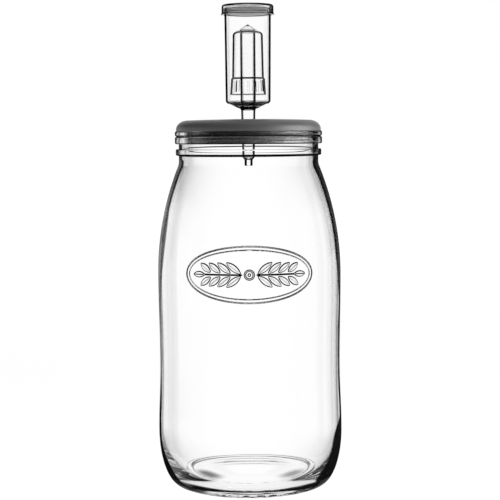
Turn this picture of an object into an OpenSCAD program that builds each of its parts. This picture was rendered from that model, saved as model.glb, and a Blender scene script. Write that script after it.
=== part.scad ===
// Fermentation jar: a glass jar, a push-in lid and a three-piece water airlock.
// Millimetres, +Z up, origin at the centre of the jar's base.

/* [Jar] */
// Height of the jar from its base to its rim
jar_h = 271.5; // [240:0.5:300]
// Outside diameter of the body where the shoulder begins
body_d = 140.2; // [130:0.2:152]
// Thickness of the glass in the body and the shoulder
wall = 2.7; // [2.2:0.1:3.6]
// Height of the shoulder, from the body to the neck
shoulder_h = 86; // [70:1:100]
// Radius with which the shoulder turns up into the neck
neck_fillet = 10; // [4:0.5:16]
// Height of the rounded heel
heel_h = 42; // [30:1:50]
// How far the rounded heel draws in from the side to the foot ring
heel_in = 16; // [10:0.2:18]
// How far the heel swells out over the body
heel_swell = 0.5; // [0:0.1:1.5]
// Height of the narrowest part of the body
waist_h = 94; // [65:1:125]
// How far the body draws in there
waist_in = 0.9; // [0:0.1:2]

/* [Base] */
// Width of the ring that the jar stands on
foot_w = 7; // [4:0.5:10]
// Height of the step inside the foot ring
foot_step = 1.4; // [0.8:0.1:2]
// Height of the hollow under the middle of the base
punt_h = 3.6; // [2.4:0.2:5]
// Thickness of the glass at the edge of the floor
floor_t = 6.8; // [6:0.1:12]
// How far the floor rises in the middle
floor_rise = 1; // [0:0.1:3]
// Height of the rounded corner between the floor and the inside wall
corner_h = 36; // [20:1:38]
// Width of the same corner
corner_w = 19.5; // [12:0.5:24]

/* [Neck] */
// Diameter of the mouth
mouth_d = 99; // [92:0.5:104]
// Thickness of the glass in the neck
neck_wall = 3.8; // [3:0.1:4.6]
// How far the rim band stands out of the neck
ring_out = 2.9; // [1.8:0.1:3.6]
// How far the lower ring stands out of the neck
low_ring_out = 2.3; // [1.8:0.1:3.6]
// Height of the plain neck under the lower ring
neck_run = 4.5; // [2:0.5:10]
// Height of the lower ring
low_ring_h = 5; // [4:0.2:8]
// Height of the gap between the rings
ring_gap = 3.8; // [2:0.2:8]
// Height of the lower half of the rim band
band_low_h = 5.4; // [4:0.2:8]
// Height of the upper half of the rim band
band_high_h = 3.8; // [3:0.2:6]
// Height of the groove between the halves of the rim band
groove_h = 0.5; // [0.3:0.1:1.2]
// Depth of the same groove
groove_in = 1; // [0.5:0.1:1.5]
// Radius on the edges of the glass rings
ring_round = 1.1; // [0.5:0.1:1.4]
// Radius on the inside edge of the rim
rim_round = 1; // [0.5:0.1:1.4]

/* [Lid] */
// Thickness of the lid above the rim, at its middle
lid_t = 9; // [7:0.5:12]
// Height of the crown of the lid
lid_crown = 0.8; // [0:0.1:1.5]
// Height of the upright edge of the lid
lid_edge = 1.2; // [0.8:0.1:2.5]
// How far the rounded top edge of the lid reaches in
lid_round = 9; // [5:0.5:14]
// How far the edge of the lid stays inside the rim band
lid_inset = 0.9; // [0:0.1:2]
// Depth of the plug below the rim
plug_h = 9.5; // [7:0.5:14]
// Thickness of the plug's skirt
plug_wall = 6; // [4:0.5:9]
// Number of sealing ribs round the plug
rib_count = 2; // [1:1:3]
// How far a sealing rib stands out of the plug
rib_out = 0.9; // [0.5:0.1:1.5]
// Height of a sealing rib
rib_h = 2.2; // [1.2:0.1:2.2]
// Gap between the ribs of the plug and the glass
plug_clear = 0.3; // [0.1:0.05:0.5]
// Thickness of the boss round the airlock's stem
boss_wall = 5; // [3:0.5:8]
// Radius in the corners under the lid
recess_round = 2; // [1:0.5:3]

/* [Airlock stem] */
// Height of stem that shows between the lid and the chamber
stem_show = 6.4; // [4:0.2:14]
// Diameter of the stem where it meets the chamber
stem_d = 10.9; // [10:0.1:11.4]
// Length of the tapered stem below the chamber
stem_h = 35.6; // [32:0.2:46]
// Diameter of the stem at its lower end
stem_low_d = 9.4; // [8.6:0.1:10]
// Radial gap between the stem and its hole in the lid
stem_clear = 0.08; // [0.02:0.01:0.1]
// Thickness of the stem and the riser tube
tube_wall = 1.3; // [1:0.1:1.6]
// Height of the sloping step from the stem to its nose
nose_step_h = 1.9; // [1:0.1:3]
// Diameter of the nose at the end of the stem
nose_d = 6.2; // [5.4:0.1:7]
// Length of the nose
nose_h = 5.4; // [4:0.2:8]
// Thickness of the nose's wall
nose_wall = 1; // [0.8:0.1:1.2]
// Radius on the end of the nose
nose_round = 0.8; // [0.3:0.1:0.9]
// Thickness of the cross bars that keep food out of the nose
bar_t = 1; // [0.7:0.1:1.3]
// Height of the cross bars
bar_h = 1.6; // [1:0.1:3]

/* [Airlock chamber] */
// Diameter of the chamber at its rim
chamber_d = 35.4; // [33:0.2:40]
// Diameter of the chamber just above its bottom
chamber_low_d = 34.2; // [32:0.2:35]
// Thickness of the chamber's wall
chamber_wall = 1.1; // [0.8:0.1:1.5]
// Radius where the stem spreads into the chamber
root_fillet = 1.8; // [1:0.1:2.4]
// Height from the end of the stem to the edge of the chamber's bottom
cone_h = 5.2; // [3.4:0.1:6]
// Radius on the bottom edge of the chamber
chamber_round = 2.6; // [1.5:0.1:3.5]
// Thickness of the chamber's floor
chamber_floor_t = 1.2; // [0.9:0.1:1.8]
// Diameter of the riser tube
riser_d = 11.6; // [11:0.1:12.4]
// Height of the riser above the bottom of the chamber
riser_h = 60.6; // [50:0.2:70]
// Height of the chamber's rim above the riser
headroom = 16.6; // [10:0.2:24]

/* [Bell] */
// Diameter of the bell under its roof
bell_d = 23; // [21:0.2:24]
// Diameter of the bell just above its skirt
bell_low_d = 24.2; // [23.2:0.2:25]
// Diameter of the top of the skirt
skirt_d = 25.8; // [25.2:0.2:27]
// Diameter of the skirt at its rim
skirt_low_d = 27.3; // [26:0.1:28.5]
// Height of the skirt
skirt_h = 13; // [12:0.2:18]
// Thickness of the bell's wall
bell_wall = 1; // [0.7:0.1:1.2]
// Slope of the bell's roof, in degrees
roof_lean = 32; // [20:1:40]
// Radius on the edge of the roof
roof_round = 3; // [1.4:0.1:3.4]
// Radius on the tip of the roof
tip_round = 5; // [2:0.5:8]
// Diameter of the moulding nub on the tip of the roof
nub_d = 1.6; // [1:0.1:2]
// Height of the moulding nub
nub_h = 0.4; // [0.2:0.1:0.6]
// Height of the bell's rim above the floor of the chamber
rim_gap = 5.6; // [3:0.2:9]
// Gap between the roof of the bell and the riser
roof_clear = 0.2; // [0.1:0.05:0.5]
// Number of slots round the skirt
slot_count = 8; // [4:1:10]
// Width of a slot
slot_w = 2.4; // [1.5:0.1:3]
// Height of a slot
slot_h = 8.6; // [5:0.2:9]
// Height of the closed ring under the slots
slot_rim = 2.4; // [1.5:0.1:3]
// How far the bell is turned from the front, in degrees
bell_turn = 9; // [0:1:44]

/* [Dust cap] */
// Thickness of the cap's top
cap_t = 1.2; // [0.8:0.1:1.6]
// Height of the cap above the chamber's rim
cap_rise = 3; // [2.4:0.1:8]
// How far the cap reaches down over the chamber
cap_over = 4.8; // [3:0.1:7]
// Thickness of the cap's skirt
cap_wall = 1.5; // [0.8:0.1:1.8]
// Gap between the cap and the chamber
cap_clear = 0.5; // [0.1:0.05:0.5]
// Width of the ledge inside the cap that sits on the chamber's rim
ledge_w = 1.2; // [0.8:0.1:1.3]
// Radius on the top edge of the cap
cap_round = 1.8; // [1:0.1:2.2]
// How far the cap's lip stands out
lip_out = 0.5; // [0.3:0.1:1.2]
// Height of the cap's lip
lip_h = 1.4; // [0.8:0.1:2]
// Number of vent holes
vent_count = 4; // [3:1:6]
// Diameter of a vent hole
vent_d = 1.4; // [1:0.1:2]
// Diameter of the circle that the vent holes lie on
vent_ring_d = 16; // [10:1:24]

/* [Hidden] */
$fn = 96;
// How far a cut runs past what it cuts
overrun = 1;

glass_colour = [0.9, 0.94, 0.94, 0.35];
silicone_colour = [0.27, 0.27, 0.28];
plastic_colour = [0.93, 0.95, 0.96, 0.4];

// Jar: the outside of the body, the foot and the floor
body_r = body_d / 2;
heel_r = body_r + heel_swell;
foot_r = heel_r - heel_in;
foot_in_r = foot_r - foot_w;
inside_r = body_r - wall;
floor_r = inside_r - corner_w;

// Jar: the neck and its rings, from the rim down
mouth_r = mouth_d / 2;
neck_r = mouth_r + neck_wall;
ring_r = neck_r + ring_out;
low_ring_r = neck_r + low_ring_out;
band_high_z = jar_h - band_high_h;
groove_z = band_high_z - groove_h;
band_z = groove_z - band_low_h;
low_ring_top_z = band_z - ring_gap;
low_ring_z = low_ring_top_z - low_ring_h;
neck_z = low_ring_z - neck_run;
shoulder_z = neck_z - shoulder_h;

// Lid: its disc lies on the rim, and its ribs face the mouth
lid_r = ring_r - lid_inset;
lid_top_z = jar_h + lid_t;
lid_side_z = lid_top_z - lid_crown;
plug_z = jar_h - plug_h;
rib_r = mouth_r - plug_clear;
plug_r = rib_r - rib_out;
skirt_in_r = plug_r - plug_wall;
rib_pitch = plug_h / (rib_count + 1);

// Airlock: its heights count from the root of the stem
root_z = lid_top_z + stem_show;
stem_r = stem_d / 2;
stem_low_r = stem_low_d / 2;
stem_low_z = root_z - stem_h;
nose_r = nose_d / 2;
nose_top_z = stem_low_z - nose_step_h;
nose_z = nose_top_z - nose_h;
boss_r = stem_r + boss_wall;
chamber_r = chamber_d / 2;
chamber_low_r = chamber_low_d / 2;
cone_z = root_z + cone_h;
chamber_floor_z = cone_z + chamber_floor_t;
riser_foot_z = root_z + root_fillet + chamber_floor_t;
chamber_low_z = cone_z + chamber_round;
riser_r = riser_d / 2;
riser_top_z = root_z + riser_h;
rim_z = riser_top_z + headroom;
chamber_in_round = chamber_round - chamber_wall;

// Bell: its roof sits on the riser
bell_r = bell_d / 2;
bell_low_r = bell_low_d / 2;
skirt_r = skirt_d / 2;
skirt_low_r = skirt_low_d / 2;
roof_seat_z = riser_top_z + roof_clear + bell_wall / cos(roof_lean);
bell_side_z = roof_seat_z - (bell_r - riser_r) * tan(roof_lean);
bell_z = chamber_floor_z + rim_gap;
skirt_z = bell_z + skirt_h;

// Cap: its ledge sits on the chamber's rim
cap_in_r = chamber_r + cap_clear;
cap_r = cap_in_r + cap_wall;
cap_ledge_r = cap_in_r - ledge_w;
lip_r = cap_r + lip_out;
cap_z = rim_z - cap_over;
cap_top_z = rim_z + cap_rise;
cap_roof_z = cap_top_z - cap_t;

// Points on an arc about a centre, with its own radius each way
function arc(centre, radii, from, to, steps, first = 0) =
    [for (i = [first : steps])
        let (a = from + (to - from) * i / steps)
        centre + [radii[0] * cos(a), radii[1] * sin(a)]];

// Goes from 0 to 1 with a level start and a level end
function eased(t) = (1 - cos(180 * t)) / 2;

// Points up a shoulder: one long arc that leaves the body upright,
// then a small one the other way that meets the neck upright
function shoulder_points(low_r, high_r, fillet) =
    let (
        drop = low_r - high_r,
        reach = (drop * drop + shoulder_h * shoulder_h) / (2 * drop),
        sweep_r = reach - fillet,
        turn = asin(shoulder_h / reach)
    )
    concat(
        arc([low_r - sweep_r, shoulder_z], [sweep_r, sweep_r], 0, turn, 24),
        arc([high_r + fillet, neck_z], [fillet, fillet], 180 + turn, 180, 6, 1)
    );

// Points up the side of the body: drawn in at the waist, and upright at both ends
function side_points(low_r, high_r, low_z) = concat(
    [for (i = [1 : 8])
        let (t = i / 8)
        [low_r - (low_r - high_r + waist_in) * eased(t), low_z + (waist_h - low_z) * t]],
    [for (i = [1 : 7])
        let (t = i / 8)
        [high_r - waist_in * (1 - eased(t)), waist_h + (shoulder_z - waist_h) * t]]
);

// Points up a ring on the neck, with both of its outer edges rounded
function ring_points(edge_r, low_r, high_r, low_z, high_z) =
    let (
        centre_r = edge_r - ring_round,
        radii = [ring_round, ring_round]
    )
    concat(
        [[low_r, low_z]],
        arc([centre_r, low_z + ring_round], radii, -90, 0, 5),
        arc([centre_r, high_z - ring_round], radii, 0, 90, 5),
        [[high_r, high_z]]
    );

function reversed(points) = [for (i = [len(points) - 1 : -1 : 0]) points[i]];

// Radius of the stem at a height, which the hole in the lid follows
function stem_r_at(z) = stem_low_r + (stem_r - stem_low_r) * (z - stem_low_z) / stem_h;

function jar_outside() = concat(
    arc([foot_r, heel_h], [heel_in, heel_h], -90, 0, 16),
    side_points(heel_r, body_r, heel_h),
    shoulder_points(body_r, neck_r, neck_fillet),
    ring_points(low_ring_r, neck_r, neck_r, low_ring_z, low_ring_top_z),
    ring_points(ring_r, neck_r, ring_r - groove_in, band_z, groove_z),
    ring_points(ring_r, ring_r - groove_in, mouth_r + rim_round, band_high_z, jar_h)
);

function jar_inside() = concat(
    arc([mouth_r + rim_round, jar_h - rim_round], [rim_round, rim_round], 90, 180, 5, 1),
    reversed(shoulder_points(inside_r, mouth_r, neck_fillet + wall)),
    reversed(side_points(inside_r, inside_r, floor_t + corner_h)),
    arc([floor_r, floor_t + corner_h], [corner_w, corner_h], 0, -90, 16),
    [for (i = [1 : 8]) let (t = i / 8) [floor_r * (1 - t), floor_t + floor_rise * eased(t)]]
);

function jar_underside() = concat(
    [for (i = [0 : 7]) let (t = i / 8)
        [(foot_in_r - foot_step) * t, punt_h - (punt_h - foot_step) * eased(t)]],
    arc([foot_in_r - foot_step, 0], [foot_step, foot_step], 90, 0, 5)
);

module glass_jar() {
    color(glass_colour)
        rotate_extrude()
            polygon(concat(jar_outside(), jar_inside(), jar_underside()));
}

// Points up the outside of the plug, with a rounded rib at each pitch
function plug_points() = [
    for (k = [0 : rib_count - 1])
        each arc([plug_r, plug_z + rib_pitch * (k + 1)], [rib_out, rib_h / 2], -90, 90, 8)
];

function lid_top_points() = concat(
    arc([lid_r - lid_round, jar_h + lid_edge],
        [lid_round, lid_side_z - jar_h - lid_edge], 0, 90, 12),
    [for (i = [1 : 7]) let (t = i / 8)
        [(lid_r - lid_round) * (1 - t), lid_side_z + lid_crown * (1 - (1 - t) * (1 - t))]]
);

module silicone_lid() {
    r = recess_round;
    color(silicone_colour)
        difference() {
            rotate_extrude()
                polygon(concat(
                    [[0, plug_z], [boss_r, plug_z]],
                    arc([boss_r + r, jar_h - r], [r, r], 180, 90, 5),
                    arc([skirt_in_r - r, jar_h - r], [r, r], 90, 0, 5),
                    [[skirt_in_r, plug_z], [plug_r, plug_z]],
                    plug_points(),
                    [[plug_r, jar_h], [lid_r, jar_h]],
                    lid_top_points(),
                    [[0, lid_top_z]]
                ));
            stem_hole();
        }
}

// The hole narrows with the stem, and runs past the lid at both ends
module stem_hole() {
    low_z = plug_z - overrun;
    high_z = lid_top_z + overrun;
    translate([0, 0, low_z])
        cylinder(
            h = high_z - low_z,
            r1 = stem_r_at(low_z) + stem_clear,
            r2 = stem_r_at(high_z) + stem_clear
        );
}

// Outside of the stem and the chamber, from the nose up to the rim
function airlock_outside() = concat(
    arc([nose_r - nose_round, nose_z + nose_round], [nose_round, nose_round], -90, 0, 5),
    [[nose_r, nose_top_z], [stem_low_r, stem_low_z]],
    arc([stem_r + root_fillet, root_z], [root_fillet, root_fillet], 180, 90, 6),
    arc([chamber_low_r - chamber_round, chamber_low_z],
        [chamber_round, chamber_round], -90, 0, 8),
    [[chamber_r, rim_z]]
);

// Inside of the chamber, then up the riser and down its bore
function airlock_inside() = concat(
    [[chamber_r - chamber_wall, rim_z]],
    arc([chamber_low_r - chamber_round, chamber_floor_z + chamber_in_round],
        [chamber_in_round, chamber_in_round], 0, -90, 6),
    [
        [riser_r, riser_foot_z],
        [riser_r, riser_top_z],
        [riser_r - tube_wall, riser_top_z],
        [stem_r - tube_wall, root_z],
        [stem_low_r - tube_wall, stem_low_z],
        [nose_r - nose_wall, nose_top_z],
        [nose_r - nose_wall, nose_z]
    ]
);

module airlock_body() {
    color(plastic_colour) {
        rotate_extrude()
            polygon(concat(airlock_outside(), airlock_inside()));
        for (turn = [0, 90])
            rotate([0, 0, turn])
                nose_bar();
    }
}

// A bar across the nose, let into its wall at both ends
module nose_bar() {
    length = nose_d - nose_wall;
    translate([-length / 2, -bar_t / 2, nose_z])
        cube([length, bar_t, bar_h]);
}

// Points up the bell, from its rim to the tip of its roof.
// The inset is 0 on the outside and the wall's thickness on the inside.
function bell_points(inset) =
    let (
        step = skirt_r - bell_low_r,
        step_drop = inset * tan(22.5),
        corner_drop = tan(45 - roof_lean / 2),
        edge_r = roof_round - inset,
        tip_r = tip_round - inset,
        side_r = bell_r - inset,
        side_z = bell_side_z - inset * corner_drop,
        point_z = side_z + side_r * tan(roof_lean)
    )
    concat(
        [
            [skirt_low_r - inset, bell_z],
            [skirt_r - inset, skirt_z - step - step_drop],
            [bell_low_r - inset, skirt_z - step_drop]
        ],
        arc([side_r - edge_r, side_z - edge_r * corner_drop],
            [edge_r, edge_r], 0, 90 - roof_lean, 6),
        arc([0, point_z - tip_r / cos(roof_lean)], [tip_r, tip_r], 90 - roof_lean, 90, 6)
    );

module floating_bell() {
    color(plastic_colour) {
        difference() {
            rotate_extrude()
                polygon(concat(bell_points(0), reversed(bell_points(bell_wall))));
            for (k = [0 : slot_count - 1])
                rotate([0, 0, bell_turn + 360 * k / slot_count])
                    slot();
        }
        nub();
    }
}

// The nub stands on the tip of the roof and is sunk into it
module nub() {
    outside = bell_points(0);
    tip_z = outside[len(outside) - 1][1];
    translate([0, 0, tip_z - nub_h])
        cylinder(h = 2 * nub_h, d = nub_d);
}

// One slot, cut outwards through the skirt
module slot() {
    start_r = bell_low_r - 2 * bell_wall;
    translate([start_r, -slot_w / 2, bell_z + slot_rim])
        cube([skirt_low_r + overrun - start_r, slot_w, slot_h]);
}

module dust_cap() {
    color(plastic_colour)
        difference() {
            rotate_extrude()
                polygon(concat(
                    [[cap_in_r, cap_z], [lip_r, cap_z]],
                    [[lip_r, cap_z + lip_h / 2], [cap_r, cap_z + lip_h]],
                    arc([cap_r - cap_round, cap_top_z - cap_round],
                        [cap_round, cap_round], 0, 90, 8),
                    [
                        [0, cap_top_z],
                        [0, cap_roof_z],
                        [cap_ledge_r, cap_roof_z],
                        [cap_ledge_r, rim_z],
                        [cap_in_r, rim_z]
                    ]
                ));
            for (k = [0 : vent_count - 1])
                rotate([0, 0, 360 * (k + 0.5) / vent_count])
                    translate([vent_ring_d / 2, 0, cap_roof_z - overrun])
                        cylinder(h = cap_t + 2 * overrun, d = vent_d);
        }
}

glass_jar();
silicone_lid();
airlock_body();
floating_bell();
dust_cap();
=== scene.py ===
"""The looks of a fermentation jar: pressed glass, a silicone lid and a clear three-piece airlock."""

import math
from collections import namedtuple

import bmesh
import bpy
from mathutils import Matrix, Vector


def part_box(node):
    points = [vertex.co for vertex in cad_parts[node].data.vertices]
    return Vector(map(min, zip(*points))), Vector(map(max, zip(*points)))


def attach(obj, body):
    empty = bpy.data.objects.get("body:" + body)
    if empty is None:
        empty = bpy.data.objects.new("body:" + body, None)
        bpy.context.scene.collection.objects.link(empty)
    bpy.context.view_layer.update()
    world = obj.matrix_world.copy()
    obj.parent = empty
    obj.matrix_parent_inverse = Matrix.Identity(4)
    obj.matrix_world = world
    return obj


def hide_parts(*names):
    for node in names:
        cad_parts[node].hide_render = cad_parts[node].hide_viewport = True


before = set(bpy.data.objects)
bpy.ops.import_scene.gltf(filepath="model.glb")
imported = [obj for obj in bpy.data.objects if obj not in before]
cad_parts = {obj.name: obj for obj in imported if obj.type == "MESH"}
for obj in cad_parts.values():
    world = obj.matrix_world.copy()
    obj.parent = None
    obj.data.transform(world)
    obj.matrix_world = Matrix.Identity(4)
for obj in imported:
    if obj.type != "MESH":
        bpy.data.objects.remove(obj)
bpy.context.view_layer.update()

MM = 0.001

# Sizes of the pressed glass, as in the part's source
WALL = 2.7 * MM
NECK_WALL = 3.8 * MM
SHOULDER_H = 86 * MM
NECK_FILLET = 10 * MM
HEEL_H = 42 * MM
HEEL_IN = 16 * MM
HEEL_SWELL = 0.5 * MM
WAIST_Z = 94 * MM
WAIST_IN = 0.9 * MM
FOOT_W = 7 * MM
FOOT_STEP = 1.4 * MM
PUNT_H = 3.6 * MM
FLOOR_T = 6.8 * MM
FLOOR_RISE = 1 * MM
CORNER_H = 36 * MM
CORNER_W = 19.5 * MM
MOUTH_R = 49.5 * MM
RING_OUT = 2.9 * MM
LOW_RING_OUT = 2.3 * MM
NECK_RUN = 4.5 * MM
LOW_RING_H = 5 * MM
RING_GAP = 3.8 * MM
BAND_LOW_H = 5.4 * MM
BAND_HIGH_H = 3.8 * MM
GROOVE_H = 0.5 * MM
GROOVE_IN = 1 * MM
RING_ROUND = 1.1 * MM
RIM_ROUND = 1 * MM

# Heights and radii that follow from them and from the jar's own box
jar_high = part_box("glass_jar")[1]
JAR_H = jar_high[2]
HEEL_R = jar_high[0]
BODY_R = HEEL_R - HEEL_SWELL
INSIDE_R = BODY_R - WALL
FLOOR_R = INSIDE_R - CORNER_W
FOOT_R = HEEL_R - HEEL_IN
FOOT_IN_R = FOOT_R - FOOT_W
NECK_R = MOUTH_R + NECK_WALL
RING_R = NECK_R + RING_OUT
LOW_RING_R = NECK_R + LOW_RING_OUT
BAND_HIGH_Z = JAR_H - BAND_HIGH_H
GROOVE_Z = BAND_HIGH_Z - GROOVE_H
BAND_Z = GROOVE_Z - BAND_LOW_H
LOW_RING_TOP_Z = BAND_Z - RING_GAP
LOW_RING_Z = LOW_RING_TOP_Z - LOW_RING_H
NECK_Z = LOW_RING_Z - NECK_RUN
SHOULDER_Z = NECK_Z - SHOULDER_H

# How finely the glass is cut up, and the angle past which an edge stays sharp, in degrees
TURNS = 256
FILLET_STEPS = 6
NECK_ARC_STEPS = 10
LONG_ARC_STEPS = 24
CORNER_STEPS = 32
WAIST_STEPS = 16
PLAIN_STEPS = 12
SHARP_ANGLE = 50

# The medallion pressed into the front of the jar, measured along the glass
MEDAL_Z = JAR_H - 104 * MM
MEDAL_HALF_W = 50 * MM
MEDAL_HALF_H = 20.5 * MM
MEDAL_EDGE = 1.5 * MM
MEDAL_MARGIN = 1.1
MEDAL_ROWS = 26
MEDAL_CUTS = 5
RELIEF = 0.5 * MM
FLANK = 0.7 * MM
OVAL_LINE = 0.3 * MM
INNER_OVAL_IN = 2.6 * MM
INNER_OVAL_LINE = 0.1 * MM
BOSS_RING_R = 3.2 * MM
BOSS_RING_LINE = 0.5 * MM
BOSS_R = 1.0 * MM

# The two sprigs of the medallion: a stalk from its middle, pairs of leaves and a leaf at the end
STALK_MIDDLE = 20 * MM
STALK_HALF_L = 14.5 * MM
STALK_END = 34 * MM
STALK_LINE = 0.3 * MM
LEAF_PAIRS = 4
LEAF_START = 11.5 * MM
LEAF_STEP = 7.2 * MM
LEAF_OFF = 4.9 * MM
LEAF_TURN = 38
LEAF_HALF_L = 6.6 * MM
LEAF_HALF_W = 2.1 * MM
LEAF_SHORTER = 0.5 * MM
END_LEAF_MIDDLE = 38.5 * MM
END_LEAF_HALF_L = 4.8 * MM
END_LEAF_HALF_W = 2 * MM
MIDRIB_LINE = 0.1 * MM
MIDRIB_DEPTH = 0.7

# Heights on the lid, the airlock, the bell and the cap, from their own boxes
lid_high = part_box("silicone_lid")[1]
airlock_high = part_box("airlock_body")[1]
bell_low, bell_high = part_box("floating_bell")
cap_low, cap_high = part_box("dust_cap")
LID_TOP = lid_high[2]
AIRLOCK_TOP = airlock_high[2]
RISER_TOP = AIRLOCK_TOP - 16.6 * MM
CHAMBER_FOOT = AIRLOCK_TOP - 71.7 * MM
CHAMBER_ROOT = AIRLOCK_TOP - 75.3 * MM
BELL_TIP = bell_high[2]
BELL_FOOT = bell_low[2]
ROOF_EDGE = BELL_TIP - 6.2 * MM
SKIRT_STEP = BELL_FOOT + 12.6 * MM
CAP_TOP = cap_high[2]
CAP_FOOT = cap_low[2]

# Soft slopes, each from a start to an end: how far a face looks outwards or upwards, from 0 to 1
OUTSIDE = (0.1, 0.3)
UPRIGHT = (0.55, 0.8)
TOP_FACE = (0.9, 0.95)
SIDEWAYS_IN_SLOT = (0.5, 0.3)

# Soft slopes up the height of the jar's glass
FOOT_PALE = (9 * MM, 3 * MM)
UNDER_HEEL = (12 * MM, 9 * MM)
HEEL_WIDE = (36 * MM, 12 * MM)
THICK_SIDE_FOOT = (2 * MM, 12 * MM)
THICK_SIDE_TOP = (56 * MM, 40 * MM)
LOW_SHADE = (52 * MM, 36 * MM)
WAIST_FROM = (55 * MM, 95 * MM)
WAIST_WEAKER = (110 * MM, 140 * MM)
WAIST_TO = (205 * MM, 235 * MM)
HIGH_SHADE = (205 * MM, 232 * MM)
SHOULDER_WIDE = (140 * MM, 190 * MM)
NECK_THINNER = (NECK_Z, NECK_Z + 3 * MM)
NECK_FROM = (NECK_Z - 2 * MM, NECK_Z + 2 * MM)
RIM_THINNER = (BAND_Z - 1 * MM, BAND_Z)

# Soft slopes across the jar and to its back
RIGHT_SIDE = (-10 * MM, 45 * MM)
HEEL_SIDES = (25 * MM, 50 * MM)
FOOT_LINE_SIDES = (5 * MM, 50 * MM)
SPECKS_FRONT = (10 * MM, -10 * MM)
FLOOR_BACK = (-10 * MM, 10 * MM)
FLOOR_FRONT = (-8 * MM, -22 * MM)

# Widths of the painted dark outline, painted shade where a wall is seen edge-on, at the sides of the glass,
# of a clear tube and of the cap
PLAIN_W = 1.8 * MM
RIM_W = 0.5 * MM
SHOULDER_W = 2.6 * MM
LEFT_HEEL_W = 4.2 * MM
RIGHT_HEEL_W = 1.8 * MM
THICK_SIDE_W = 4.6 * MM
TUBE_W = 1.35 * MM
TUBE_W_BY_RADIUS = 0.025
CAP_W = 1.5 * MM

# Places and half widths of single painted dark lines and patches of painted shade, and of the lid's plug,
# with soft slopes as pairs
MEDAL_MARK_HALF = 23 * MM
NECK_RING_MARK = LOW_RING_Z + 0.4 * MM
NECK_RING_MARK_HALF = 0.9 * MM
FOOT_LINE_Z = 6.5 * MM
FOOT_LINE_HALF_FRONT = 0.6 * MM
FOOT_LINE_HALF_SIDE = 2.4 * MM
SPECKS_TOP = (3.6 * MM, 2.8 * MM)
FLOOR_LINE_HALF = 0.7 * MM
FLOOR_PATCH_R = 41 * MM
FLOOR_PATCH_HALF = 9 * MM
CHAMBER_EDGE_HALF = 0.6 * MM
CHAMBER_ROOT_HALF = 1.1 * MM
CHAMBER_RIM = (AIRLOCK_TOP - 0.5 * MM, AIRLOCK_TOP - 0.3 * MM)
RISER_RIM_HALF = 0.4 * MM
RISER_OR_WALL = (9 * MM, 7 * MM)
ROOF_EDGE_HALF = 0.45 * MM
SKIRT_STEP_HALF = 0.5 * MM
BELL_RIM_HALF = 0.6 * MM
BELL_NUB = (BELL_TIP - 1.0 * MM, BELL_TIP - 0.6 * MM)
CAP_RIM = (CAP_TOP - 1.9 * MM, CAP_TOP - 1.4 * MM)
CAP_SKIRT_TOP = (CAP_TOP - 3 * MM, CAP_TOP - 4 * MM)
CAP_SKIRT_FOOT = (CAP_FOOT + 1 * MM, CAP_FOOT + 1.6 * MM)
CAP_LIP = (CAP_FOOT + 1.2 * MM, CAP_FOOT + 0.7 * MM)
PLUG_FROM = (LID_TOP - 10 * MM, LID_TOP - 11 * MM)

# How fine each pattern is, in waves to the metre, and how deep the two uneven surfaces are
RIPPLES = 14.0
OUTLINE_WAVES = 22.0
CLOUDS = 30.0
FOOT_LINE_PATCHES = 70.0
SPECKS = 230.0
GRAIN = 900.0
RIPPLE_DEPTH = 0.5 * MM
GRAIN_DEPTH = 0.2 * MM

# Colours
# NEAR_BLACK is painted shade: the dark mixed into clear glass and plastic at outlines, edges and soft grey
NEAR_BLACK = (0.003, 0.003, 0.003, 1)
DARK_SILICONE = (0.068, 0.068, 0.07, 1)
LIGHT_SILICONE = (0.082, 0.082, 0.084, 1)
FLOOR_GREY = (0.9, 0.9, 0.9, 1)
WHITE = (1, 1, 1, 1)

# White panels that glass shows: turn from +Y, half width, and the heights of their ends, in degrees
PANELS = (
    (0, 22, -89, 85),
    (135, 13, -42, 11),
    (-90, 13, -30, 16),
    (-45, 11, -52, 11),
    (90, 24, -10, 24),
)
PANEL_FADE = 5
PLAIN_LEVEL = 0.55

# The floor: half its side in metres, its share that takes shadows, its glow, and where it fades to white
FLOOR_HALF = 8.0
FLOOR_SHADED = 0.15
FLOOR_GLOW = 1.05
FLOOR_FADE = (0.5, 1.6)

# The softbox on the right, in metres and watts
LAMP_PLACE = (0.9, -0.15, 0.45)
LAMP_TARGET = (0, 0, 0.25)
LAMP_SIZE = 0.9
LAMP_POWER = 14

# The camera, with its lens and sensor in millimetres, and how far it looks down and rolls, in degrees
CAMERA_PLACE = (0.6 * MM, -1150 * MM, 271.5 * MM)
CAMERA_LENS = 108
CAMERA_SENSOR = 36
CAMERA_DIP = 4.54
CAMERA_ROLL = -0.4

# How often light may pass through clear walls, and bounce off shiny ones
CLEAR_BOUNCES = 32
GLOSSY_BOUNCES = 12


def arc(centre, radii, start, end, steps, first=0):
    """Points on an arc about a centre, in degrees, with its own radius each way."""
    turns = [math.radians(start + (end - start) * i / steps) for i in range(first, steps + 1)]
    return [(centre[0] + radii[0] * math.cos(t), centre[1] + radii[1] * math.sin(t)) for t in turns]


def eased(t):
    """Goes from 0 to 1 with a level start and a level end."""
    return (1 - math.cos(math.pi * t)) / 2


def shares(steps, first=0):
    """Even steps from 0 to 1."""
    return [i / steps for i in range(first, steps + 1)]


def shoulder_sweep(low_r, high_r, fillet):
    """Radius of the long arc of a shoulder, and how far it turns before the small arc takes over."""
    drop = low_r - high_r
    reach = (drop * drop + SHOULDER_H * SHOULDER_H) / (2 * drop)
    return reach - fillet, math.asin(SHOULDER_H / reach)


def body_radius(z):
    """Outside radius of the plain glass, from the waist of the body to the top of the long arc."""
    if z < SHOULDER_Z:
        return BODY_R - WAIST_IN * (1 - eased((z - WAIST_Z) / (SHOULDER_Z - WAIST_Z)))
    sweep = shoulder_sweep(BODY_R, NECK_R, NECK_FILLET)[0]
    up = z - SHOULDER_Z
    return BODY_R - sweep + math.sqrt(sweep * sweep - up * up)


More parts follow.
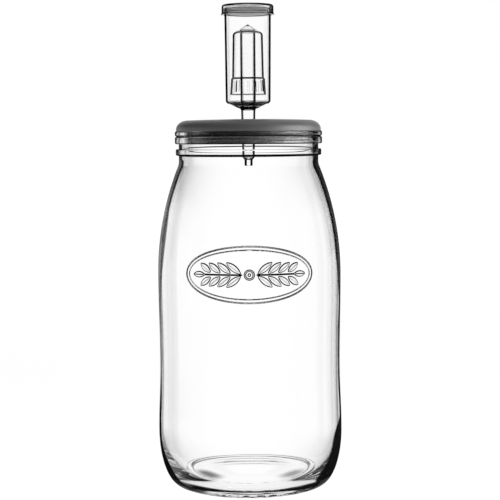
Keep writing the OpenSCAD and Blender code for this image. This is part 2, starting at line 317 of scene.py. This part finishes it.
def shoulder_points(low_r, high_r, fillet, start_z):
    """Points up a shoulder from a height: the long arc, then the small one that meets the neck upright."""
    sweep, turn = shoulder_sweep(low_r, high_r, fillet)
    start = math.degrees(math.asin((start_z - SHOULDER_Z) / sweep))
    turned = math.degrees(turn)
    long_centre = (low_r - sweep, SHOULDER_Z)
    small_centre = (high_r + fillet, NECK_Z)
    return [
        *arc(long_centre, (sweep, sweep), start, turned, LONG_ARC_STEPS, 1),
        *arc(small_centre, (fillet, fillet), 180 + turned, 180, NECK_ARC_STEPS, 1),
    ]


def waist_points(low_r, high_r, low_z):
    """Points from an upright end of the body, at a height, to its waist."""
    drawn_in = low_r - high_r + WAIST_IN
    rise = WAIST_Z - low_z
    return [(low_r - drawn_in * eased(t), low_z + rise * t) for t in shares(WAIST_STEPS, 1)]


def ring_points(edge_r, low_r, high_r, low_z, high_z):
    """Points up a ring on the neck, with both of its outer edges rounded."""
    centre_r = edge_r - RING_ROUND
    radii = (RING_ROUND, RING_ROUND)
    low_edge = arc((centre_r, low_z + RING_ROUND), radii, -90, 0, FILLET_STEPS)
    high_edge = arc((centre_r, high_z - RING_ROUND), radii, 0, 90, FILLET_STEPS)
    return [(low_r, low_z), *low_edge, *high_edge, (high_r, high_z)]


def outside_points():
    """The outside of the jar, from its foot up to the rim."""
    low_z = MEDAL_Z - MEDAL_HALF_H - MEDAL_EDGE
    high_z = MEDAL_Z + MEDAL_HALF_H + MEDAL_EDGE
    heights = [WAIST_Z + (low_z - WAIST_Z) * t for t in shares(PLAIN_STEPS, 1)]
    heights += [low_z + (high_z - low_z) * t for t in shares(MEDAL_ROWS, 1)]
    return [
        *arc((FOOT_R, HEEL_H), (HEEL_IN, HEEL_H), -90, 0, CORNER_STEPS),
        *waist_points(HEEL_R, BODY_R, HEEL_H),
        *[(body_radius(z), z) for z in heights],
        *shoulder_points(BODY_R, NECK_R, NECK_FILLET, high_z),
        *ring_points(LOW_RING_R, NECK_R, NECK_R, LOW_RING_Z, LOW_RING_TOP_Z),
        *ring_points(RING_R, NECK_R, RING_R - GROOVE_IN, BAND_Z, GROOVE_Z),
        *ring_points(RING_R, RING_R - GROOVE_IN, MOUTH_R + RIM_ROUND, BAND_HIGH_Z, JAR_H),
    ]


def inside_points():
    """The inside of the jar, from the rim down to the middle of its floor."""
    rim = (RIM_ROUND, RIM_ROUND)
    shoulder = shoulder_points(INSIDE_R, MOUTH_R, NECK_FILLET + WALL, SHOULDER_Z)
    side = waist_points(INSIDE_R, INSIDE_R, FLOOR_T + CORNER_H)
    heights = [WAIST_Z + (SHOULDER_Z - WAIST_Z) * t for t in shares(WAIST_STEPS, 1)]
    side += [(body_radius(z) - WALL, z) for z in heights]
    corner = (CORNER_W, CORNER_H)
    return [
        *arc((MOUTH_R + RIM_ROUND, JAR_H - RIM_ROUND), rim, 90, 180, FILLET_STEPS, 1),
        *reversed(shoulder),
        *reversed(side),
        *arc((FLOOR_R, FLOOR_T + CORNER_H), corner, 0, -90, CORNER_STEPS),
        *[(FLOOR_R * (1 - t), FLOOR_T + FLOOR_RISE * eased(t)) for t in shares(PLAIN_STEPS, 1)],
    ]


def underside_points():
    """The hollow base, from its middle out to the foot."""
    punt_r = FOOT_IN_R - FOOT_STEP
    punt_rise = PUNT_H - FOOT_STEP
    step = (FOOT_STEP, FOOT_STEP)
    return [
        *[(punt_r * t, PUNT_H - punt_rise * eased(t)) for t in shares(PLAIN_STEPS)[:-1]],
        *arc((punt_r, 0), step, 90, 0, FILLET_STEPS),
    ]


def ridge(distance, half_width):
    """Height of a rounded ridge, as a share, at a distance from its middle line."""
    t = min(max((half_width + FLANK / 2 - abs(distance)) / FLANK, 0), 1)
    return t * t * (3 - 2 * t)


def oval_distance(u, v, half_w, half_h):
    """Roughly how far a point lies outside an oval."""
    reach = math.hypot(u / half_w, v / half_h)
    slope = math.hypot(u / half_w ** 2, v / half_h ** 2)
    return (reach - 1) * reach / slope if slope else -half_h


def leaf_distance(u, v, place, turn, half_l, half_w):
    """How far a point lies outside a pointed leaf, and how far from its midrib."""
    du, dv = u - place[0], v - place[1]
    along = du * math.cos(turn) + dv * math.sin(turn)
    across = dv * math.cos(turn) - du * math.sin(turn)
    radius = (half_l ** 2 + half_w ** 2) / (2 * half_w)
    return math.hypot(along, abs(across) + radius - half_w) - radius, across


def leaves():
    """Place, turn and half sizes of the leaves on the right-hand sprig of the medallion."""
    sprig = [((END_LEAF_MIDDLE, 0), 0, END_LEAF_HALF_L, END_LEAF_HALF_W)]
    for k in range(LEAF_PAIRS):
        for side in (-1, 1):
            place = (LEAF_START + LEAF_STEP * k, side * LEAF_OFF)
            turn = side * math.radians(LEAF_TURN)
            sprig.append((place, turn, LEAF_HALF_L - LEAF_SHORTER * k, LEAF_HALF_W))
    return sprig


LEAVES = leaves()


def medallion_height(u, v):
    """Height of the pressed pattern, as a share, at a place across and up from its middle."""
    outer = oval_distance(u, v, MEDAL_HALF_W, MEDAL_HALF_H)
    inner = oval_distance(u, v, MEDAL_HALF_W - INNER_OVAL_IN, MEDAL_HALF_H - INNER_OVAL_IN)
    height = max(ridge(outer, OVAL_LINE), ridge(inner, INNER_OVAL_LINE))
    side = abs(u)
    if side < STALK_END:
        height = max(height, ridge(v, STALK_LINE) * ridge(side - STALK_MIDDLE, STALK_HALF_L))
    middle = math.hypot(u, v)
    height = max(height, ridge(middle - BOSS_RING_R, BOSS_RING_LINE), ridge(middle, BOSS_R))
    for place, turn, half_l, half_w in LEAVES:
        outside, across = leaf_distance(side, v, place, turn, half_l, half_w)
        if outside < FLANK:
            midrib = MIDRIB_DEPTH * ridge(across, MIDRIB_LINE)
            height = max(height, ridge(outside + half_w, half_w) * (1 - midrib))
    return height


def press_medallion(shape):
    """Refines the front of the jar and lifts the pattern out of it."""
    low_z = MEDAL_Z - MEDAL_HALF_H - MEDAL_EDGE / 2
    high_z = MEDAL_Z + MEDAL_HALF_H + MEDAL_EDGE / 2
    widest = (MEDAL_HALF_W + MEDAL_EDGE) / BODY_R

    def on_front(point):
        return (
            low_z - MEDAL_EDGE < point.z < high_z + MEDAL_EDGE
            and math.hypot(point.x, point.y) > body_radius(point.z) - WALL / 3
            and abs(math.atan2(point.x, -point.y)) < widest
        )

    faces = [face for face in shape.faces if on_front(face.calc_center_median())]
    edges = list({edge for face in faces for edge in face.edges})
    bmesh.ops.subdivide_edges(shape, edges=edges, cuts=MEDAL_CUTS, use_grid_fill=True)
    for vert in shape.verts:
        turn = math.atan2(vert.co.x, -vert.co.y)
        if abs(vert.co.z - MEDAL_Z) > MEDAL_HALF_H + 2 * MEDAL_EDGE or abs(turn) > MEDAL_MARGIN * widest:
            continue
        plain = body_radius(vert.co.z)
        if math.hypot(vert.co.x, vert.co.y) < plain - WALL / 3:
            continue
        radius = plain + RELIEF * medallion_height(turn * BODY_R, vert.co.z - MEDAL_Z)
        vert.co.x, vert.co.y = radius * math.sin(turn), -radius * math.cos(turn)


def finish_mesh(shape, name, sharp_degrees):
    """Makes a mesh of a shape, with its normals outward and its sharp edges kept."""
    bmesh.ops.recalc_face_normals(shape, faces=shape.faces)
    for face in shape.faces:
        face.smooth = True
    for edge in shape.edges:
        edge.smooth = not edge.is_manifold or edge.calc_face_angle() < math.radians(sharp_degrees)
    mesh = bpy.data.meshes.new(name)
    shape.to_mesh(mesh)
    shape.free()
    piece = bpy.data.objects.new(name, mesh)
    bpy.context.scene.collection.objects.link(piece)
    return piece


def spun_shape(points, turns):
    """Turns an outline of radii and heights into a round body."""
    shape = bmesh.new()
    verts = [shape.verts.new((r, 0, z)) for r, z in points]
    edges = [shape.edges.new(pair) for pair in zip(verts, verts[1:])]
    bmesh.ops.spin(
        shape, geom=verts + edges, cent=(0, 0, 0), axis=(0, 0, 1), angle=math.tau,
        steps=turns, use_merge=True,
    )
    bmesh.ops.remove_doubles(shape, verts=shape.verts, dist=0.001 * MM)
    return shape


def pressed_jar():
    """The glass jar, in place of the plain one, with the medallion on its front."""
    points = [*outside_points(), *inside_points(), *underside_points()]
    shape = spun_shape(points + points[:1], TURNS)
    press_medallion(shape)
    jar = finish_mesh(shape, "pressed_jar", SHARP_ANGLE)
    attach(jar, "jar")
    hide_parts("glass_jar")
    return jar

class Term:
    """A value or colour in a node tree. Python's operators on it add the nodes that work them out."""

    def __init__(self, tree, socket):
        self.tree = tree
        self.socket = socket

    def maths(self, operation, *values):
        """The result of a Math node that starts with this value."""
        inputs = dict(enumerate((self, *values)))
        return self.tree.add("ShaderNodeMath", {"operation": operation}, inputs)

    def __add__(self, other):
        return self.maths("ADD", other)

    def __sub__(self, other):
        return self.maths("SUBTRACT", other)

    def __rsub__(self, other):
        return self.maths("MULTIPLY", -1) + other

    def __mul__(self, other):
        return self.maths("MULTIPLY", other)

    def __truediv__(self, other):
        return self.maths("DIVIDE", other)

    def __abs__(self):
        return self.maths("ABSOLUTE")

    __radd__ = __add__
    __rmul__ = __mul__

    def rise(self, start, end):
        """0 below start and 1 above end, with a soft slope between. Start may be the higher one."""
        settings = {"interpolation_type": "SMOOTHSTEP"}
        values = {"Value": self, "From Min": start, "From Max": end}
        return self.tree.add("ShaderNodeMapRange", settings, values)

    def between(self, first, last):
        """Goes from a first value, where this one is 0, to a last one, where it is 1."""
        return self * (last - first) + first

    def strongest(self, *others):
        """The greatest of this value and others."""
        most = self
        for other in others:
            most = most.maths("MAXIMUM", other)
        return most

    def near(self, middle, half):
        """1 within half a width of a middle value, and 0 a little further off."""
        return abs(self - middle).rise(half * 1.3, half * 0.7)

    def output(self, name):
        """Another output of the node that this value comes from."""
        return Term(self.tree, self.socket.node.outputs[name])


class Tree:
    """The node tree of a material or of the world."""

    def __init__(self, holder):
        holder.use_nodes = True
        self.nodes = holder.node_tree.nodes
        self.links = holder.node_tree.links
        self.nodes.clear()

    def add(self, kind, settings=None, values=None, output=0):
        """Adds a node with its settings, then its inputs by name or place, and gives one of its outputs."""
        node = self.nodes.new(kind)
        for name, value in (settings or {}).items():
            setattr(node, name, value)
        for place, value in (values or {}).items():
            socket = node.inputs[place]
            if isinstance(value, Term):
                self.links.new(value.socket, socket)
            else:
                socket.default_value = value
        return Term(self, node.outputs[output]) if len(node.outputs) else None

    def colour_mix(self, factor, first, second):
        """A colour between two others."""
        return self.add("ShaderNodeMix", {"data_type": "RGBA"}, {0: factor, 6: first, 7: second}, 2)

    def noise(self, waves, detail=2.0):
        """Soft noise over a piece, with so many waves to the metre."""
        place = self.add("ShaderNodeTexCoord", output="Object")
        values = {"Vector": place, "Scale": waves, "Detail": detail}
        return self.add("ShaderNodeTexNoise", None, values)

    def bump(self, height, strength, depth):
        """A surface that a pattern makes uneven."""
        values = {"Height": height, "Strength": strength, "Distance": depth}
        return self.add("ShaderNodeBump", None, values)


Spot = namedtuple("Spot", "radius across back height outwards upwards towards")


def spot_on(tree):
    """Where a spot on a turned piece is, and how far it faces outwards, upwards and to the eye."""
    place = tree.add("ShaderNodeTexCoord", output="Object")
    normal = place.output("Normal")
    height = tree.add("ShaderNodeSeparateXYZ", None, {0: place}, "Z")
    upwards = tree.add("ShaderNodeSeparateXYZ", None, {0: normal}, "Z")
    level = tree.add("ShaderNodeVectorMath", {"operation": "MULTIPLY"}, {0: place, 1: (1, 1, 0)})
    radius = tree.add("ShaderNodeVectorMath", {"operation": "LENGTH"}, {0: level}, "Value")
    pair = {0: level, 1: normal}
    out = tree.add("ShaderNodeVectorMath", {"operation": "DOT_PRODUCT"}, pair, "Value")
    towards = 1 - tree.add("ShaderNodeLayerWeight", None, {"Blend": 0.5}, "Facing")
    across = height.output("X")
    back = height.output("Y")
    return Spot(radius, across, back, height, out / radius, upwards, towards)


def outside(spot):
    """1 where a face looks outwards, and 0 where it looks inwards, straight up or straight down."""
    return spot.outwards.rise(*OUTSIDE)


def depth_in(spot):
    """How far inside the outline of a round wall a spot is seen."""
    return spot.radius * (1 - (1 - spot.towards * spot.towards).maths("SQRT"))


def edge_on(spot, width, sharp):
    """1 where a round wall is seen edge-on, within a width of its outline, and 0 elsewhere."""
    return (depth_in(spot) / width).rise(1, sharp) * spot.outwards.rise(*UPRIGHT)


def soft_shade(spot, strength):
    """A painted soft grey shade that gathers towards the outline of a clear wall."""
    turned = 1 - spot.towards
    return turned * turned * strength * outside(spot)


def clear_material(name, darkness, ior, tint, ripples, roughness=0.0):
    """Clear glass or plastic that bends light, and lets the lamp's own rays through to what is behind."""
    material = bpy.data.materials.new(name)
    tree = Tree(material)
    grey = (tint, tint, tint, 1)
    body = tree.add("ShaderNodeBsdfPrincipled", None, {
        "Base Color": grey,
        "Roughness": roughness,
        "IOR": ior,
        "Transmission Weight": 1.0,
        "Specular Tint": (0, 0, 0, 1),
        "Normal": tree.bump(tree.noise(RIPPLES, 1.0), ripples, RIPPLE_DEPTH),
    })
    # A near-black diffuse mixed in where darkness is high: painted shade at the outlines, edges and soft
    # grey of the clear pieces
    dark = tree.add("ShaderNodeBsdfDiffuse", None, {"Color": NEAR_BLACK})
    drawn = tree.add("ShaderNodeMixShader", None, {0: darkness(tree), 1: body, 2: dark})
    lamp_ray = tree.add("ShaderNodeLightPath", output="Is Shadow Ray")
    open_way = tree.add("ShaderNodeBsdfTransparent", None, {"Color": grey})
    both = tree.add("ShaderNodeMixShader", None, {0: lamp_ray, 1: drawn, 2: open_way})
    tree.add("ShaderNodeOutputMaterial", None, {"Surface": both})
    return material


def painted_glass_outline(spot, wave):
    """Painted shade: the dark outline of the glass where it is seen edge-on, widest at the heel and the
    shoulder, and paler at the waist.
    """
    height = spot.height
    right = spot.across.rise(*RIGHT_SIDE)
    shoulder = height.rise(*SHOULDER_WIDE) * height.rise(*NECK_THINNER).between(1, 0.3)
    heel = height.rise(*HEEL_WIDE) * right.between(LEFT_HEEL_W, RIGHT_HEEL_W)
    thick_side = right * height.rise(*THICK_SIDE_TOP) * height.rise(*THICK_SIDE_FOOT) * THICK_SIDE_W
    plain = height.rise(*RIM_THINNER).between(PLAIN_W, RIM_W)
    width = (shoulder * SHOULDER_W + heel + thick_side + plain) * wave.between(0.85, 1.15)
    depth = depth_in(spot) / width

    outer_part = depth.rise(0.6, 0.45)
    waist = height.rise(*WAIST_FROM) * height.rise(*WAIST_WEAKER).between(1, 0.6)
    waist = waist * height.rise(*WAIST_TO).between(1, 0.1)
    pale_waist = waist * right.between(0.25, 0.05)
    pale_shoulder = shoulder * outer_part * right.between(0.12, 0.02)
    pale_foot = height.rise(*FOOT_PALE) * outer_part * 0.2
    darkest = 0.995 - (pale_waist + pale_shoulder + pale_foot)

    front = abs(spot.across).rise(*HEEL_SIDES).between(1, 0.1)
    turned_under = spot.upwards.rise(-0.55, -0.8) * front * height.rise(*UNDER_HEEL)
    return depth.rise(1, 0.75) * outside(spot) * darkest * turned_under.between(1, 0.25)


def glass_shade(spot):
    """Painted soft grey shade inside the outline of the glass, stronger at the heel and under the neck."""
    low = spot.height.rise(*LOW_SHADE) * 0.5
    high = spot.height.rise(*HIGH_SHADE) * 0.65
    return soft_shade(spot, low + high + 0.15)


def painted_dark_edges(spot):
    """Painted shade on the flanks of the medallion, the undersides of the neck's rings and the foot of the
    lower ring.
    """
    flank = spot.outwards.rise(0.99, 0.96) * spot.height.near(MEDAL_Z, MEDAL_MARK_HALF)
    under = spot.upwards.rise(-0.1, -0.45) * spot.height.rise(*NECK_FROM)
    ring = spot.height.near(NECK_RING_MARK, NECK_RING_MARK_HALF)
    return under.strongest(flank * outside(spot), ring * outside(spot))


def foot_shade_and_specks(tree, spot):
    """A painted dark line of shade round the foot, thicker at its sides, and the specks of the rough glass
    under it, drawn dark as painted shade and fainter at the back.
    """
    half = abs(spot.across).rise(*FOOT_LINE_SIDES).between(FOOT_LINE_HALF_FRONT, FOOT_LINE_HALF_SIDE)
    patchy = tree.noise(FOOT_LINE_PATCHES).rise(0.35, 0.55)
    # Painted shade: the dark line round the foot, broken up by noise
    foot_line_shade = (abs(spot.height - FOOT_LINE_Z) / half).rise(1.3, 0.7) * spot.outwards.rise(0.02, 0.1)
    # Specks of the rough foot glass, drawn dark as painted shade, fainter at the back
    specks = tree.noise(SPECKS).rise(0.5, 0.58) * spot.height.rise(*SPECKS_TOP) * outside(spot)
    back_faded_specks = specks * spot.back.rise(*SPECKS_FRONT).between(0.15, 0.9)
    return (foot_line_shade * patchy.between(0.83, 0.98)).strongest(back_faded_specks)


def painted_floor_shade(spot, wave):
    """Painted shade on the jar's floor: a dark line at its back edge, and a soft dark patch on either side
    of its front.
    """
    line = spot.radius.near(FLOOR_R, FLOOR_LINE_HALF) * spot.upwards.rise(0.3, 0.5)
    line = line * spot.back.rise(*FLOOR_BACK) * wave.between(0.78, 0.98)
    patch = abs(spot.radius - FLOOR_PATCH_R).rise(FLOOR_PATCH_HALF, 0) * spot.upwards.rise(*TOP_FACE)
    sides = abs(spot.across / spot.radius).rise(0.45, 0.8) * spot.back.rise(*FLOOR_FRONT)
    paler = spot.across.rise(*RIGHT_SIDE).between(1, 0.45)
    return line.strongest(patch * sides * wave.between(0.58, 0.88) * paler)


def dark_in_glass(tree):
    """Where painted shade darkens the jar's glass: its outline, soft grey, edge lines, foot and floor."""
    spot = spot_on(tree)
    wave = tree.noise(OUTLINE_WAVES).rise(0.35, 0.65)
    return painted_glass_outline(spot, wave).strongest(
        glass_shade(spot),
        painted_dark_edges(spot),
        foot_shade_and_specks(tree, spot),
        painted_floor_shade(spot, wave),
    )


def painted_tube_shade(spot):
    """Painted shade on a clear tube: its dark outline and soft grey, with a thinner outline on a thinner
    tube.
    """
    outline = edge_on(spot, spot.radius * TUBE_W_BY_RADIUS + TUBE_W, 0.8)
    return outline.strongest(soft_shade(spot, 0.16))


def dark_in_airlock(tree):
    """Painted shade on the airlock: its dark outline, the bottom of its chamber and the rims of its tubes.
    """
    spot = spot_on(tree)
    chamber_edge = spot.height.near(CHAMBER_FOOT, CHAMBER_EDGE_HALF) * outside(spot)
    root = spot.height.near(CHAMBER_ROOT, CHAMBER_ROOT_HALF) * outside(spot)
    chamber_rim = spot.height.rise(*CHAMBER_RIM)
    riser_rim = spot.height.near(RISER_TOP, RISER_RIM_HALF) * spot.radius.rise(*RISER_OR_WALL)
    return painted_tube_shade(spot).strongest(chamber_edge * 0.95, root, chamber_rim * 0.6, riser_rim * 0.7)


def dark_in_bell(tree):
    """Painted shade on the bell: its dark outline, roof edge, nub and skirt, and the sides of its slots."""
    spot = spot_on(tree)
    roof_edge = spot.height.near(ROOF_EDGE, ROOF_EDGE_HALF) * outside(spot)
    step = spot.height.near(SKIRT_STEP, SKIRT_STEP_HALF) * outside(spot)
    rim = spot.height.near(BELL_FOOT, BELL_RIM_HALF)
    nub = spot.height.rise(*BELL_NUB)
    slot_side = abs(spot.outwards).rise(*SIDEWAYS_IN_SLOT) * abs(spot.upwards).rise(*SIDEWAYS_IN_SLOT)
    marks = (roof_edge * 0.8, step * 0.9, rim * 0.5, nub * 0.8, slot_side * 0.9)
    return painted_tube_shade(spot).strongest(*marks)


def dark_in_cap(tree):
    """Painted shade on the cap: its dark outline, the rounded rim of its roof, its skirt and its lip."""
    spot = spot_on(tree)
    outline = edge_on(spot, CAP_W, 0.75)
    rim = spot.height.rise(*CAP_RIM) * spot.outwards.rise(0.02, 0.1) * spot.towards.rise(0.95, 0.8)
    skirt = spot.height.rise(*CAP_SKIRT_TOP) * spot.height.rise(*CAP_SKIRT_FOOT)
    lip = spot.height.rise(*CAP_LIP)
    wall = abs(spot.outwards).rise(0.4, 0.7)
    return outline.strongest(rim, (skirt * 0.4).strongest(lip * 0.6) * wall)


def silicone_material():
    """Grey silicone, satin on the lid's disc and smoother on its plug."""
    material = bpy.data.materials.new("grey_silicone")
    tree = Tree(material)
    grain = tree.noise(GRAIN, 3.0)
    cloud = tree.noise(CLOUDS, 3.0).rise(0.35, 0.7)
    place = tree.add("ShaderNodeTexCoord", output="Object")
    plug = tree.add("ShaderNodeSeparateXYZ", None, {0: place}, "Z").rise(*PLUG_FROM)
    body = tree.add("ShaderNodeBsdfPrincipled", None, {
        "Base Color": tree.colour_mix(cloud, DARK_SILICONE, LIGHT_SILICONE),
        "Roughness": grain.rise(0.2, 0.8).between(0.42, 0.5) - plug * 0.19,
        "Normal": tree.bump(grain, 0.15, GRAIN_DEPTH),
    })
    tree.add("ShaderNodeOutputMaterial", None, {"Surface": body})
    return material


def studio_world():
    """An even light, in which glass shows white panels with dark strips between, and the eye sees white."""
    world = bpy.data.worlds.new("studio")
    bpy.context.scene.world = world
    tree = Tree(world)
    way = tree.add("ShaderNodeTexCoord", output="Generated")
    split = tree.add("ShaderNodeSeparateXYZ", None, {0: way}, "X")
    turn = split.maths("ARCTAN2", split.output("Y")) * math.degrees(1)
    height = split.output("Z").maths("ARCSINE") * math.degrees(1)
    narrowing = (height * math.radians(1)).maths("COSINE")
    panels = []
    for middle, half, low, high in PANELS:
        off_middle = (turn - middle).maths("PINGPONG", 180)
        across = (off_middle * narrowing).rise(half + PANEL_FADE, half)
        upright = height.rise(low - PANEL_FADE, low) * height.rise(high + PANEL_FADE, high)
        panels.append(across * upright)
    tent = panels[0].strongest(*panels[1:])
    camera_ray = tree.add("ShaderNodeLightPath", output="Is Camera Ray")
    clear_ray = camera_ray.output("Is Transmission Ray")
    glossy_ray = camera_ray.output("Is Glossy Ray")
    level = clear_ray.strongest(glossy_ray).between(PLAIN_LEVEL, tent)
    values = {"Color": level.strongest(camera_ray), "Strength": 1.0}
    light = tree.add("ShaderNodeBackground", None, values)
    tree.add("ShaderNodeOutputWorld", None, {"Surface": light})


def floor_material():
    """A pale floor that glows up to white and keeps the object's shadow, and is plain white far off."""
    material = bpy.data.materials.new("pale_floor")
    tree = Tree(material)
    place = tree.add("ShaderNodeTexCoord", output="Object")
    far = tree.add("ShaderNodeVectorMath", {"operation": "LENGTH"}, {0: place}, "Value")
    glowing = far.rise(*FLOOR_FADE).between(1 - FLOOR_SHADED, 1)
    paint = tree.add("ShaderNodeBsdfDiffuse", None, {"Color": FLOOR_GREY})
    glow = tree.add("ShaderNodeEmission", None, {"Color": WHITE, "Strength": FLOOR_GLOW})
    mixed = tree.add("ShaderNodeMixShader", None, {0: glowing, 1: paint, 2: glow})
    tree.add("ShaderNodeOutputMaterial", None, {"Surface": mixed})
    return material


def make_floor():
    """The floor under the jar, which its glass doesn't show."""
    shape = bmesh.new()
    bmesh.ops.create_grid(shape, x_segments=1, y_segments=1, size=FLOOR_HALF)
    mesh = bpy.data.meshes.new("floor")
    shape.to_mesh(mesh)
    shape.free()
    floor = bpy.data.objects.new("floor", mesh)
    bpy.context.scene.collection.objects.link(floor)
    mesh.materials.append(floor_material())
    floor.visible_transmission = False


def make_lamp():
    """A round softbox on the right, which shows in the lid and not through glass."""
    lamp = bpy.data.lights.new("right_softbox", "AREA")
    lamp.shape = "DISK"
    lamp.size = LAMP_SIZE
    lamp.energy = LAMP_POWER
    lamp.cycles.use_multiple_importance_sampling = False
    holder = bpy.data.objects.new("right_softbox", lamp)
    bpy.context.scene.collection.objects.link(holder)
    way = Vector(LAMP_TARGET) - Vector(LAMP_PLACE)
    turned = way.to_track_quat("-Z", "Y").to_matrix().to_4x4()
    holder.matrix_world = Matrix.Translation(LAMP_PLACE) @ turned
    holder.visible_transmission = False


def make_camera():
    """The camera in front, at the height of the jar's rim, looking a little down."""
    camera = bpy.data.cameras.new("camera")
    camera.lens = CAMERA_LENS
    camera.sensor_width = CAMERA_SENSOR
    holder = bpy.data.objects.new("camera", camera)
    bpy.context.scene.collection.objects.link(holder)
    tilt = Matrix.Rotation(math.radians(90 - CAMERA_DIP), 4, "X")
    roll = Matrix.Rotation(math.radians(CAMERA_ROLL), 4, "Z")
    holder.matrix_world = Matrix.Translation(CAMERA_PLACE) @ tilt @ roll
    bpy.context.scene.camera = holder


glass = clear_material("clear_glass", dark_in_glass, ior=1.52, tint=1.0, ripples=0.4)
looks = {
    "silicone_lid": silicone_material(),
    "airlock_body": clear_material("airlock_plastic", dark_in_airlock, ior=1.58, tint=0.99, ripples=0.2),
    "floating_bell": clear_material("bell_plastic", dark_in_bell, ior=1.58, tint=0.99, ripples=0.2),
    "dust_cap": clear_material(
        "milky_plastic", dark_in_cap, ior=1.5, tint=0.8, ripples=0.1, roughness=0.1
    ),
}
for node, material in looks.items():
    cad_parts[node].material_slots[0].material = material

jar = pressed_jar()
jar.data.materials.append(glass)

studio_world()
make_floor()
make_camera()
make_lamp()

scene = bpy.context.scene
scene.view_settings.view_transform = "Standard"
scene.cycles.max_bounces = CLEAR_BOUNCES
scene.cycles.transmission_bounces = CLEAR_BOUNCES
scene.cycles.transparent_max_bounces = CLEAR_BOUNCES
scene.cycles.glossy_bounces = GLOSSY_BOUNCES
